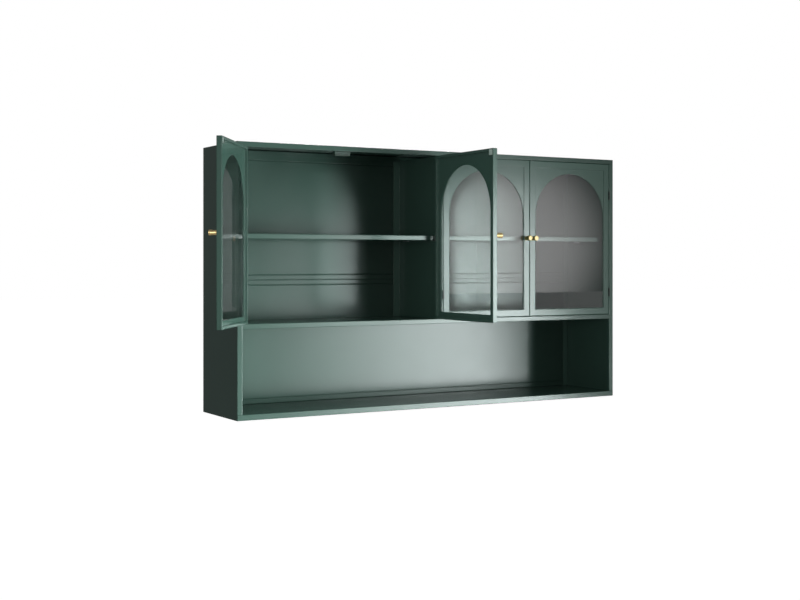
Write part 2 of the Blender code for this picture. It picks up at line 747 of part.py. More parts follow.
def main():
    """Empties the scene and builds the cabinet."""
    for old in list(bpy.data.objects):
        bpy.data.objects.remove(old)
    paint = material("green_powder_coat", (0.065, 0.135, 0.110), 0.45)
    glass = material("clear_glass", (0.90, 0.93, 0.92), 0.03, transmission=1.0)
    brass = material("brass", (0.69, 0.47, 0.15), 0.28, metallic=1.0)
    steel = material("zinc_plated_steel", (0.42, 0.43, 0.43), 0.40, metallic=1.0)
    plastic = material("grey_green_plastic", (0.16, 0.23, 0.21), 0.50)
    magnet_steel = material("nickel_plated_steel", (0.56, 0.56, 0.55), 0.35, metallic=1.0)
    add_carcass(paint)
    add_shelves(paint, steel)
    add_catches(plastic, magnet_steel)
    add_doors(paint, glass, brass, steel, magnet_steel)


main()
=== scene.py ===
"""Wall cabinet of folded steel: its finishes, its small fittings and a plain studio.

The folded steel, the glass and the hinges keep the solids of the frame and get procedural finishes.
Knobs, strikes and catches are modelled again with finer surfaces, and Geometry Nodes set the screws.
Units are metres. The wall is the plane Y = 0, and the doors face -Y.
"""

import json
import math

import bmesh
import bpy
from mathutils import Matrix, Quaternion, Vector


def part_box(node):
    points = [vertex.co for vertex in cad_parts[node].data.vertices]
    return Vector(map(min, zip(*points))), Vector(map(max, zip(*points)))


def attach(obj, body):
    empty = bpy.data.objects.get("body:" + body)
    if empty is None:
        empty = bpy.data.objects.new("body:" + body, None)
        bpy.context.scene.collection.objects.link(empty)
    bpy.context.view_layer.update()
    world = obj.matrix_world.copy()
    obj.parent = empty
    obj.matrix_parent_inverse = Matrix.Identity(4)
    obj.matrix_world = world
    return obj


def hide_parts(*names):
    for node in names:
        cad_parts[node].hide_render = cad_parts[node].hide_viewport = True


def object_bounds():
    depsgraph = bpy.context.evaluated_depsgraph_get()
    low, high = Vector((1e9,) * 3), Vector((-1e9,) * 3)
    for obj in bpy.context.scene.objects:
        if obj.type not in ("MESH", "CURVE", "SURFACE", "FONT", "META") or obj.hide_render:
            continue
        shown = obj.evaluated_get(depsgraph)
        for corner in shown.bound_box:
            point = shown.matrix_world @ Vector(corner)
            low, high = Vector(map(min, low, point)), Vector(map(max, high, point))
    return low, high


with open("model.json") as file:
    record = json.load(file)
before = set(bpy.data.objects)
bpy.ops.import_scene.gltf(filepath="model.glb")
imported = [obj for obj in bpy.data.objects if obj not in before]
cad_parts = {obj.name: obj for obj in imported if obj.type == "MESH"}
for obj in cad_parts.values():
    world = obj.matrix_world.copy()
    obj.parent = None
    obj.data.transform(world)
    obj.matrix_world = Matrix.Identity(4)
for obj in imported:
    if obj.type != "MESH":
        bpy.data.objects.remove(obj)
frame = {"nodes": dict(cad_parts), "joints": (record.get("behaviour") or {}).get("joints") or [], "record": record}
cad_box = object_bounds()

bl_info = {
    "name": "Wall cabinet",
    "version": (1, 0, 0),
    "blender": (4, 5, 0),
    "location": "3D View > Sidebar > Cabinet",
    "description": "Finishes, small fittings and a plain studio for a wall cabinet of folded steel",
    "category": "Object",
}

# Places that the frame gives
DOORS = ("left_outer", "left_inner", "right_inner", "right_outer")
PAIRS = ("left", "right")
SHUT_DOOR = "right_outer"  # shut at rest, so its boxes hold the sizes of all four doors
SWINGS = {joint["child"]: joint for joint in frame["joints"]}
SLOT_OF = {part["node"]: part["material_slot"] for part in frame["record"]["subparts"]}
KNOB_LOW, KNOB_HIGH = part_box(f"{SHUT_DOOR}_door_knob")
PLATE_LOW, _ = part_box(f"{SHUT_DOOR}_door_back")
PANEL_LOW, PANEL_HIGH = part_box("back_panel_upper")
LOWER_LOW, LOWER_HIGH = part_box("back_panel_lower")
_, POST_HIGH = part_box("centre_partition")
SHEET = 0.0008  # thickness of the folded steel
DOOR_SKIN = 0.001  # and of the doors' pressings
SEATING_GAP = 0.0003  # between pieces that are screwed together
SUNK = 0.0002  # how far a screw head reaches into its seat


# Sizes and colours that a user may change

class CabinetSizes(bpy.types.PropertyGroup):
    """Sizes of the small fittings."""

    knob_neck: bpy.props.FloatProperty(
        name="Knob neck",
        description="Radius of the knob's neck",
        default=0.86 * (KNOB_HIGH.z - KNOB_LOW.z) / 2,
        unit="LENGTH",
    )
    knob_head: bpy.props.FloatProperty(
        name="Knob head",
        description="Length of the full-width head of the knob",
        default=0.011,
        unit="LENGTH",
    )
    knob_fillet: bpy.props.FloatProperty(
        name="Knob fillet",
        description="Radius of the rounded edges of the knob",
        default=0.0008,
        unit="LENGTH",
    )
    knob_dish: bpy.props.FloatProperty(
        name="Knob dish",
        description="Radius of the dished face of the knob",
        default=0.0056,
        unit="LENGTH",
    )
    edge_round: bpy.props.FloatProperty(
        name="Edge rounding",
        description="Rounding of the edges of strikes and catches",
        default=0.0004,
        unit="LENGTH",
    )
    screw_radius: bpy.props.FloatProperty(
        name="Screw radius",
        description="Radius of a domed screw head",
        default=0.0031,
        unit="LENGTH",
    )
    screw_height: bpy.props.FloatProperty(
        name="Screw height",
        description="Height of a domed screw head",
        default=0.0018,
        unit="LENGTH",
    )
    screw_spacing: bpy.props.FloatProperty(
        name="Screw spacing",
        description="Distance of the screws along the edges of the back panels",
        default=0.110,
        unit="LENGTH",
    )
    screw_inset: bpy.props.FloatProperty(
        name="Screw inset",
        description="Distance of those screws from the edges",
        default=0.0105,
        unit="LENGTH",
    )
    seam_clear: bpy.props.FloatProperty(
        name="Clear of the joint",
        description="Distance of the first screws from the joint of the two back panels",
        default=0.030,
        unit="LENGTH",
    )
    flange_clear: bpy.props.FloatProperty(
        name="Clear of the flanges",
        description="Distance of the last screws from the flanges on the wall",
        default=0.075,
        unit="LENGTH",
    )


class CabinetColours(bpy.types.PropertyGroup):
    """Colours of the finishes."""

    coat: bpy.props.FloatVectorProperty(
        name="Powder coat",
        description="Satin green of the folded steel",
        subtype="COLOR",
        min=0.0,
        max=1.0,
        default=(0.055, 0.110, 0.088),
    )
    glass: bpy.props.FloatVectorProperty(
        name="Glass",
        description="Tint of the door glass",
        subtype="COLOR",
        min=0.0,
        max=1.0,
        default=(0.93, 0.955, 0.95),
    )
    brass: bpy.props.FloatVectorProperty(
        name="Brass",
        description="Polished knobs",
        subtype="COLOR",
        min=0.0,
        max=1.0,
        default=(0.82, 0.62, 0.28),
    )
    zinc: bpy.props.FloatVectorProperty(
        name="Zinc",
        description="Plated clips and screws",
        subtype="COLOR",
        min=0.0,
        max=1.0,
        default=(0.60, 0.63, 0.62),
    )
    hinge: bpy.props.FloatVectorProperty(
        name="Hinges",
        description="Dark coat of the knuckle hinges",
        subtype="COLOR",
        min=0.0,
        max=1.0,
        default=(0.016, 0.026, 0.022),
    )
    # Strike plating, tinted green as a painted reflection of the green coat around the strikes.
    nickel: bpy.props.FloatVectorProperty(
        name="Nickel",
        description="Dull plating of the strikes",
        subtype="COLOR",
        min=0.0,
        max=1.0,
        default=(0.62, 0.78, 0.71),
    )
    magnet: bpy.props.FloatVectorProperty(
        name="Magnets",
        description="Ground faces of the catches' magnets",
        subtype="COLOR",
        min=0.0,
        max=1.0,
        default=(0.10, 0.13, 0.12),
    )
    plastic: bpy.props.FloatVectorProperty(
        name="Catch plastic",
        description="Moulded housings of the catches",
        subtype="COLOR",
        min=0.0,
        max=1.0,
        default=(0.075, 0.115, 0.095),
    )


# Node helpers

def add_node(tree, kind, values=None, **settings):
    """A node with its settings and with the default values of its inputs."""
    node = tree.nodes.new(kind)
    for name, value in settings.items():
        setattr(node, name, value)
    for key, value in (values or {}).items():
        node.inputs[key].default_value = value
    return node


def group_tree(name, kind, inputs, outputs):
    """A node group with named sockets. Returns the tree and its input and output nodes."""
    tree = bpy.data.node_groups.new(name, kind)
    for label, socket, default in inputs:
        made = tree.interface.new_socket(label, in_out="INPUT", socket_type=socket)
        if default is not None:
            made.default_value = default
    for label, socket in outputs:
        tree.interface.new_socket(label, in_out="OUTPUT", socket_type=socket)
    return tree, tree.nodes.new("NodeGroupInput"), tree.nodes.new("NodeGroupOutput")


def place_group(tree, name, values):
    """A copy of a shared effect in a material, with its own values."""
    node = tree.nodes.new("ShaderNodeGroup")
    node.node_tree = bpy.data.node_groups[name]
    for key, value in values.items():
        node.inputs[key].default_value = value
    return node


def noise_of_size(tree, size_socket, detail):
    """Noise whose features have about the size that a socket gives, in metres."""
    place = add_node(tree, "ShaderNodeTexCoord")
    scale = add_node(tree, "ShaderNodeMath", {0: 1.0}, operation="DIVIDE")
    noise = add_node(tree, "ShaderNodeTexNoise", {"Detail": detail, "Roughness": 0.55})
    tree.links.new(size_socket, scale.inputs[1])
    tree.links.new(place.outputs["Object"], noise.inputs["Vector"])
    tree.links.new(scale.outputs[0], noise.inputs["Scale"])
    return noise.outputs[0]


def blended(tree, factor, first, second):
    """The colour between two, by a factor. Each may be a socket or a value."""
    mix = add_node(tree, "ShaderNodeMix", data_type="RGBA")
    for index, value in ((0, factor), (6, first), (7, second)):
        if isinstance(value, bpy.types.NodeSocket):
            tree.links.new(value, mix.inputs[index])
        else:
            mix.inputs[index].default_value = value
    return mix.outputs[2]


# Effects that several finishes share

def make_tone_drift():
    """Slow changes of tone over a surface, as a coat or a plating has."""
    tree, start, end = group_tree(
        "tone_drift",
        "ShaderNodeTree",
        [
            ("Colour", "NodeSocketColor", (0.5, 0.5, 0.5, 1.0)),
            ("Amount", "NodeSocketFloat", 0.1),
            ("Size", "NodeSocketFloat", 0.2),
        ],
        [("Colour", "NodeSocketColor")],
    )
    noise = noise_of_size(tree, start.outputs["Size"], 3.0)
    swing = add_node(tree, "ShaderNodeMath", {1: 0.5}, operation="SUBTRACT")
    share = add_node(tree, "ShaderNodeMath", operation="MULTIPLY")
    level = add_node(tree, "ShaderNodeMath", {1: 1.0}, operation="ADD")
    tint = add_node(tree, "ShaderNodeVectorMath", operation="SCALE")
    tree.links.new(noise, swing.inputs[0])
    tree.links.new(swing.outputs[0], share.inputs[0])
    tree.links.new(start.outputs["Amount"], share.inputs[1])
    tree.links.new(share.outputs[0], level.inputs[0])
    tree.links.new(start.outputs["Colour"], tint.inputs[0])
    tree.links.new(level.outputs[0], tint.inputs["Scale"])
    tree.links.new(tint.outputs[0], end.inputs["Colour"])


def make_surface_grain():
    """Height of a fine texture: the soft waves of a sprayed coat under a finer grain."""
    tree, start, end = group_tree(
        "surface_grain",
        "ShaderNodeTree",
        [
            ("Wave Size", "NodeSocketFloat", 0.003),
            ("Grain Size", "NodeSocketFloat", 0.0004),
            ("Grain Share", "NodeSocketFloat", 0.3),
        ],
        [("Height", "NodeSocketFloat")],
    )
    wave = noise_of_size(tree, start.outputs["Wave Size"], 1.0)
    grain = noise_of_size(tree, start.outputs["Grain Size"], 2.0)
    mix = add_node(tree, "ShaderNodeMix", data_type="FLOAT")
    tree.links.new(start.outputs["Grain Share"], mix.inputs[0])
    tree.links.new(wave, mix.inputs[2])
    tree.links.new(grain, mix.inputs[3])
    tree.links.new(mix.outputs[0], end.inputs["Height"])


def make_edge_mask():
    """A mask of folds and edges, where a coat lies thin and rubs pale, and where a paler painted highlight goes.
    """
    tree, start, end = group_tree(
        "edge_mask",
        "ShaderNodeTree",
        [("Radius", "NodeSocketFloat", 0.001)],
        [("Mask", "NodeSocketFloat"), ("Normal", "NodeSocketVector")],
    )
    bevel = add_node(tree, "ShaderNodeBevel", samples=6)
    surface = add_node(tree, "ShaderNodeNewGeometry")
    dot = add_node(tree, "ShaderNodeVectorMath", operation="DOT_PRODUCT")
    spread = add_node(
        tree,
        "ShaderNodeMapRange",
        {"From Min": 0.995, "From Max": 0.80, "To Min": 0.0, "To Max": 1.0},
        interpolation_type="SMOOTHSTEP",
    )
    tree.links.new(start.outputs["Radius"], bevel.inputs["Radius"])
    tree.links.new(bevel.outputs["Normal"], dot.inputs[0])
    tree.links.new(surface.outputs["True Normal"], dot.inputs[1])
    tree.links.new(dot.outputs["Value"], spread.inputs["Value"])
    tree.links.new(spread.outputs[0], end.inputs["Mask"])
    tree.links.new(bevel.outputs["Normal"], end.inputs["Normal"])


def make_handling():
    """Roughness with faint cloudy marks, as handling and wiping leave."""
    tree, start, end = group_tree(
        "handling",
        "ShaderNodeTree",
        [
            ("Roughness", "NodeSocketFloat", 0.4),
            ("Amount", "NodeSocketFloat", 0.05),
            ("Size", "NodeSocketFloat", 0.05),
        ],
        [("Roughness", "NodeSocketFloat")],
    )
    noise = noise_of_size(tree, start.outputs["Size"], 5.0)
    swing = add_node(tree, "ShaderNodeMath", {1: 0.5}, operation="SUBTRACT")
    level = add_node(tree, "ShaderNodeMath", operation="MULTIPLY_ADD", use_clamp=True)
    tree.links.new(noise, swing.inputs[0])
    tree.links.new(swing.outputs[0], level.inputs[0])
    tree.links.new(start.outputs["Amount"], level.inputs[1])
    tree.links.new(start.outputs["Roughness"], level.inputs[2])
    tree.links.new(level.outputs[0], end.inputs["Roughness"])


def make_effects():
    """The shared effects, made once."""
    if "tone_drift" in bpy.data.node_groups:
        return
    make_tone_drift()
    make_surface_grain()
    make_edge_mask()
    make_handling()


# Finishes

def new_finish(name):
    """An empty material. Returns it with its tree and its Principled shader."""
    make_effects()
    finish = bpy.data.materials.new(name)
    finish.use_nodes = True
    return finish, finish.node_tree, finish.node_tree.nodes["Principled BSDF"]


def add_bump(tree, shader, height, strength, distance, normal=None):
    """Leads a height into the shader's normal."""
    bump = add_node(tree, "ShaderNodeBump", {"Strength": strength, "Distance": distance})
    tree.links.new(height, bump.inputs["Height"])
    if normal is not None:
        tree.links.new(normal, bump.inputs["Normal"])
    tree.links.new(bump.outputs["Normal"], shader.inputs["Normal"])


def coat_finish(name, colour, roughness=0.18):
    """Satin powder coat: slow drift of tone, soft spray waves, fine grain, and edges painted paler, partly as a
    thin rubbed coat and partly as a painted highlight.
    """
    finish, tree, shader = new_finish(name)
    drift = place_group(tree, "tone_drift", {"Colour": (*colour, 1.0), "Amount": 0.22, "Size": 0.35})
    grain = place_group(
        tree, "surface_grain", {"Wave Size": 0.0026, "Grain Size": 0.00045, "Grain Share": 0.35}
    )
    edges = place_group(tree, "edge_mask", {"Radius": 0.0015})
    marks = place_group(tree, "handling", {"Roughness": roughness, "Amount": 0.06, "Size": 0.06})
    shader.inputs["Specular IOR Level"].default_value = 0.24
    # Edges are painted paler: partly a thin, rubbed coat, partly a painted highlight along them.
    rubbed_and_highlit = [0.6 * channel + 0.10 for channel in colour]
    thin = add_node(tree, "ShaderNodeMath", {1: 0.10}, operation="MULTIPLY")
    tree.links.new(edges.outputs["Mask"], thin.inputs[0])
    coloured = blended(tree, thin.outputs[0], drift.outputs["Colour"], (*rubbed_and_highlit, 1.0))
    tree.links.new(coloured, shader.inputs["Base Color"])
    tree.links.new(marks.outputs["Roughness"], shader.inputs["Roughness"])
    add_bump(tree, shader, grain.outputs["Height"], 0.10, 0.0004, edges.outputs["Normal"])
    return finish


def metal_finish(name, colour, roughness, drift_size, wave_size, metallic=1.0):
    """Plated metal: blotches of tone, wiping marks and a fine grain. Dull plating is less metallic."""
    finish, tree, shader = new_finish(name)
    shader.inputs["Metallic"].default_value = metallic
    drift = place_group(
        tree, "tone_drift", {"Colour": (*colour, 1.0), "Amount": 0.5, "Size": drift_size}
    )
    grain = place_group(
        tree, "surface_grain", {"Wave Size": wave_size, "Grain Size": 0.0002, "Grain Share": 0.5}
    )
    marks = place_group(tree, "handling", {"Roughness": roughness, "Amount": 0.25, "Size": 0.004})
    tree.links.new(drift.outputs["Colour"], shader.inputs["Base Color"])
    tree.links.new(marks.outputs["Roughness"], shader.inputs["Roughness"])
    add_bump(tree, shader, grain.outputs["Height"], 0.12, 0.0001)
    return finish


def brass_finish(name, colour):
    """Polished brass with the fine rings that the lathe leaves, along the knob's own UV map."""
    finish, tree, shader = new_finish(name)
    shader.inputs["Metallic"].default_value = 1.0
    shader.inputs["Coat Weight"].default_value = 0.6
    shader.inputs["Coat Roughness"].default_value = 0.12
    ring_pitch = 0.0005
    drift = place_group(tree, "tone_drift", {"Colour": (*colour, 1.0), "Amount": 0.35, "Size": 0.006})
    marks = place_group(tree, "handling", {"Roughness": 0.34, "Amount": 0.20, "Size": 0.003})
    place = add_node(tree, "ShaderNodeTexCoord")
    rings = add_node(
        tree,
        "ShaderNodeTexWave",
        {"Scale": 1.0 / ring_pitch / 20, "Distortion": 0.6, "Detail": 1.0},
        bands_direction="Y",
    )
    tree.links.new(place.outputs["UV"], rings.inputs["Vector"])
    tree.links.new(drift.outputs["Colour"], shader.inputs["Base Color"])
    tree.links.new(marks.outputs["Roughness"], shader.inputs["Roughness"])
    add_bump(tree, shader, rings.outputs["Fac"], 0.10, 0.0001)
    return finish


def plastic_finish(name, colour):
    """Moulded plastic with a spark-eroded grain."""
    finish, tree, shader = new_finish(name)
    shader.inputs["Specular IOR Level"].default_value = 0.25
    drift = place_group(tree, "tone_drift", {"Colour": (*colour, 1.0), "Amount": 0.15, "Size": 0.02})
    grain = place_group(
        tree, "surface_grain", {"Wave Size": 0.0008, "Grain Size": 0.0003, "Grain Share": 0.6}
    )
    marks = place_group(tree, "handling", {"Roughness": 0.48, "Amount": 0.12, "Size": 0.01})
    tree.links.new(drift.outputs["Colour"], shader.inputs["Base Color"])
    tree.links.new(marks.outputs["Roughness"], shader.inputs["Roughness"])
    add_bump(tree, shader, grain.outputs["Height"], 0.15, 0.0002)
    return finish


def glass_finish(name, colour):
    """Clear float glass with faint wiping marks. Bounced light and shadows pass straight through."""
    finish, tree, shader = new_finish(name)
    shader.inputs["Transmission Weight"].default_value = 1.0
    shader.inputs["IOR"].default_value = 1.5
    drift = place_group(tree, "tone_drift", {"Colour": (*colour, 1.0), "Amount": 0.03, "Size": 0.25})
    marks = place_group(tree, "handling", {"Roughness": 0.015, "Amount": 0.03, "Size": 0.09})
    tree.links.new(drift.outputs["Colour"], shader.inputs["Base Color"])
    tree.links.new(marks.outputs["Roughness"], shader.inputs["Roughness"])
    clear = add_node(tree, "ShaderNodeBsdfTransparent", {"Color": (*colour, 1.0)})
    rays = add_node(tree, "ShaderNodeLightPath")
    seen = add_node(tree, "ShaderNodeMath", operation="MAXIMUM")
    mix = add_node(tree, "ShaderNodeMixShader")
    tree.links.new(rays.outputs["Is Camera Ray"], seen.inputs[0])
    tree.links.new(rays.outputs["Is Transmission Ray"], seen.inputs[1])
    tree.links.new(seen.outputs[0], mix.inputs[0])
    tree.links.new(clear.outputs[0], mix.inputs[1])
    tree.links.new(shader.outputs[0], mix.inputs[2])
    tree.links.new(mix.outputs[0], tree.nodes["Material Output"].inputs["Surface"])
    return finish


def finish_nodes(names, finish):
    """Gives a finish to nodes of the frame."""
    for name in names:
        mesh = frame["nodes"][name].data
        mesh.materials.clear()
        mesh.materials.append(finish)


def nodes_in_slot(slot):
    """Names of the frame's nodes that take their finish from a slot of the record."""
    return [name for name in frame["nodes"] if SLOT_OF[name] == slot]


# Meshes and places

def add_piece(name, mesh, body, slot, *replaced):
    """A finished piece at the origin, on its body."""
    piece = bpy.data.objects.new(name, mesh)
    bpy.context.scene.collection.objects.link(piece)
    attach(piece, body)
    if replaced:
        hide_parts(*replaced)
    return piece


def run_of(door):
    """1 where a door runs to +X from its pin when it is shut, -1 where it runs to -X."""
    return -SWINGS[f"{door}_door"]["axis"][2]


def door_place(door, point):
    """Places something on a door at rest. The point is where the shut door has it."""
    own, shut = SWINGS[f"{door}_door"], SWINGS[f"{SHUT_DOOR}_door"]
    pin = Vector(own["pos_m"])
    reach = abs(point[0] - shut["pos_m"][0])
    opened = math.radians(-own["range_deg"][0])
    turn = Matrix.Rotation(opened, 4, Vector(own["axis"]))
    offset = Vector((run_of(door) * reach, point[1] - pin.y, point[2] - pin.z))
    return Matrix.Translation(pin) @ turn @ Matrix.Translation(offset)


def fillet(corner, before, after, radius, steps=5):
    """Points of a rounded corner of a profile."""
    come = (Vector(before) - Vector(corner)).normalized()
    leave = (Vector(after) - Vector(corner)).normalized()
    half = come.angle(leave) / 2
    cut = radius / math.tan(half)
    middle = Vector(corner) + (come + leave).normalized() * radius / math.sin(half)
    first = (Vector(corner) + come * cut - middle).normalized()
    last = (Vector(corner) + leave * cut - middle).normalized()
    return [middle + radius * first.slerp(last, step / steps) for step in range(steps + 1)]


def rounded_profile(corners):
    """A profile from (radius, length, rounding) corners."""
    points = [Vector(corners[0][:2])]
    for before, corner, after in zip(corners, corners[1:], corners[2:]):
        points += fillet(corner[:2], before[:2], after[:2], corner[2])
    points.append(Vector(corners[-1][:2]))
    return points


def turned(name, profile, steps):
    """A turned piece about -Y from (radius, length) points, closed at its axis, with a UV map.

    U runs round the piece, and V runs along the profile, in metres.
    """
    bm = bmesh.new()
    layer = bm.loops.layers.uv.new("turning")
    run = [0.0]
    for first, second in zip(profile, profile[1:]):
        run.append(run[-1] + (second - first).length)
    rings = []
    for radius, length in profile:
        ring = []
        for step in range(steps):
            angle = 2 * math.pi * step / steps
            ring.append(bm.verts.new((radius * math.cos(angle), -length, radius * math.sin(angle))))
        rings.append(ring)
    for level in range(len(rings) - 1):
        for step in range(steps):
            after = (step + 1) % steps
            near, far = rings[level], rings[level + 1]
            face = bm.faces.new((near[step], near[after], far[after], far[step]))
            spots = ((step, level), (step + 1, level), (step + 1, level + 1), (step, level + 1))
            for loop, (turn, place) in zip(face.loops, spots):
                loop[layer].uv = (turn / steps, run[place])
    bmesh.ops.remove_doubles(bm, verts=bm.verts, dist=1e-7)
    bm.faces.new(rings[0])
    bmesh.ops.recalc_face_normals(bm, faces=bm.faces)
    mesh = bpy.data.meshes.new(name)
    bm.to_mesh(mesh)
    bm.free()
    mesh.shade_smooth()
    mesh.set_sharp_from_angle(angle=math.radians(40))
    return mesh


def softened_copy(name, node, width):
    """A copy of a node's mesh with its triangles merged into faces and its edges rounded."""
    bm = bmesh.new()
    bm.from_mesh(frame["nodes"][node].data)
    bmesh.ops.remove_doubles(bm, verts=bm.verts, dist=1e-6)
    flat = math.radians(1)
    bmesh.ops.dissolve_limit(bm, angle_limit=flat, verts=bm.verts, edges=bm.edges)
    corner = math.radians(25)
    edges = [edge for edge in bm.edges if edge.is_manifold and edge.calc_face_angle() > corner]
    bmesh.ops.bevel(
        bm, geom=edges, offset=width, segments=3, profile=0.5, affect="EDGES", clamp_overlap=True
    )
    mesh = bpy.data.meshes.new(name)
    bm.to_mesh(mesh)
    bm.free()
    mesh.shade_smooth()
    mesh.set_sharp_from_angle(angle=corner)
    return mesh


# Operators

class CABINET_OT_coat_steel(bpy.types.Operator):
    """Powder-coats the folded panels, the shelves and the door frames"""

    bl_idname = "cabinet.coat_steel"
    bl_label = "Coat the steel"

    def execute(self, context):
        finish = coat_finish("satin_green_coat", context.scene.cabinet_colours.coat)
        finish_nodes(nodes_in_slot("powder_coat"), finish)
        return {"FINISHED"}


class CABINET_OT_glaze_doors(bpy.types.Operator):
    """Gives the door panes their clear glass"""

    bl_idname = "cabinet.glaze_doors"
    bl_label = "Glaze the doors"

    def execute(self, context):
        finish = glass_finish("clear_float_glass", context.scene.cabinet_colours.glass)
        finish_nodes(nodes_in_slot("door_glass"), finish)
        return {"FINISHED"}


class CABINET_OT_turn_knobs(bpy.types.Operator):
    """Turns the brass knobs, with fillets and a dished face"""

    bl_idname = "cabinet.turn_knobs"
    bl_label = "Turn the knobs"

    def execute(self, context):
        sizes = context.scene.cabinet_sizes
        finish = brass_finish("polished_brass", context.scene.cabinet_colours.brass)
        radius = (KNOB_HIGH.z - KNOB_LOW.z) / 2
        length = KNOB_HIGH.y - KNOB_LOW.y
        round_edge = sizes.knob_fillet
        foot = sizes.knob_neck + round_edge
        shoulder = length - sizes.knob_head
        small = round_edge / 2
        corners = [
            (foot, 0.0, 0.0),
            (foot, 1.4 * round_edge, small),
            (sizes.knob_neck, 2.8 * round_edge, small),
            (sizes.knob_neck, shoulder - 1.2 * round_edge, small),
            (radius, shoulder + 0.8 * round_edge, small),
            (radius, length, round_edge),
            (sizes.knob_dish + round_edge, length, small),
            (sizes.knob_dish, length - round_edge, small),
            (0.0, length - 0.7 * round_edge, 0.0),
        ]
        profile = rounded_profile(corners)
        centre = (KNOB_LOW + KNOB_HIGH) / 2
        seat = (centre.x, KNOB_HIGH.y, centre.z)
        for door in DOORS:
            node = f"{door}_door_knob"
            mesh = turned(f"{node}_turned", profile, 64)
            mesh.materials.append(finish)
            mesh.transform(door_place(door, seat))
            add_piece(f"{node}_turned", mesh, f"{door}_door", "knob_brass", node)
        return {"FINISHED"}


class CABINET_OT_finish_hinges(bpy.types.Operator):
    """Gives the knuckle hinges their dark coat"""

    bl_idname = "cabinet.finish_hinges"
    bl_label = "Finish the hinges"

    def execute(self, context):
        finish = coat_finish("dark_hinge_coat", context.scene.cabinet_colours.hinge, 0.40)
        finish_nodes([name for name in nodes_in_slot("hinge_steel") if "hinge" in name], finish)
        return {"FINISHED"}


class CABINET_OT_plate_clips(bpy.types.Operator):
    """Zinc-plates the shelf clips"""

    bl_idname = "cabinet.plate_clips"
    bl_label = "Plate the clips"

    def execute(self, context):
        finish = metal_finish("bright_zinc", context.scene.cabinet_colours.zinc, 0.34, 0.005, 0.0015)
        finish_nodes([name for name in nodes_in_slot("hinge_steel") if "clip" in name], finish)
        return {"FINISHED"}


class CABINET_OT_fit_catches(bpy.types.Operator):
    """Moulds the magnetic catches under the top"""

    bl_idname = "cabinet.fit_catches"
    bl_label = "Fit the catches"

    def execute(self, context):
        sizes, colours = context.scene.cabinet_sizes, context.scene.cabinet_colours
        plastic = plastic_finish("catch_plastic", colours.plastic)
        steel = metal_finish("ground_magnet_steel", colours.magnet, 0.42, 0.008, 0.0006, metallic=0.6)
        for pair in PAIRS:
            node = f"{pair}_catch_housing"
            mesh = softened_copy(f"{node}_moulded", node, sizes.edge_round)
            mesh.materials.clear()
            mesh.materials.append(plastic)
            add_piece(f"{node}_moulded", mesh, "carcass", "catch_plastic", node)
        finish_nodes([name for name in nodes_in_slot("magnet_steel") if "magnet" in name], steel)
        return {"FINISHED"}


class CABINET_OT_fit_strikes(bpy.types.Operator):
    """Presses the nickel-plated strikes of the doors"""

    bl_idname = "cabinet.fit_strikes"
    bl_label = "Fit the strikes"

    def execute(self, context):
        sizes, colours = context.scene.cabinet_sizes, context.scene.cabinet_colours
        # The strikes' plating is tinted green, a painted reflection of the green coat around them.
        finish = metal_finish("nickel_plate_with_painted_reflection", colours.nickel, 0.45, 0.006, 0.001, metallic=0.3)
        for door in DOORS:
            node = f"{door}_door_strike"
            mesh = softened_copy(f"{node}_pressed", node, sizes.edge_round)
            mesh.materials.clear()
            mesh.materials.append(finish)
            add_piece(f"{node}_pressed", mesh, f"{door}_door", "magnet_steel", node)
        return {"FINISHED"}


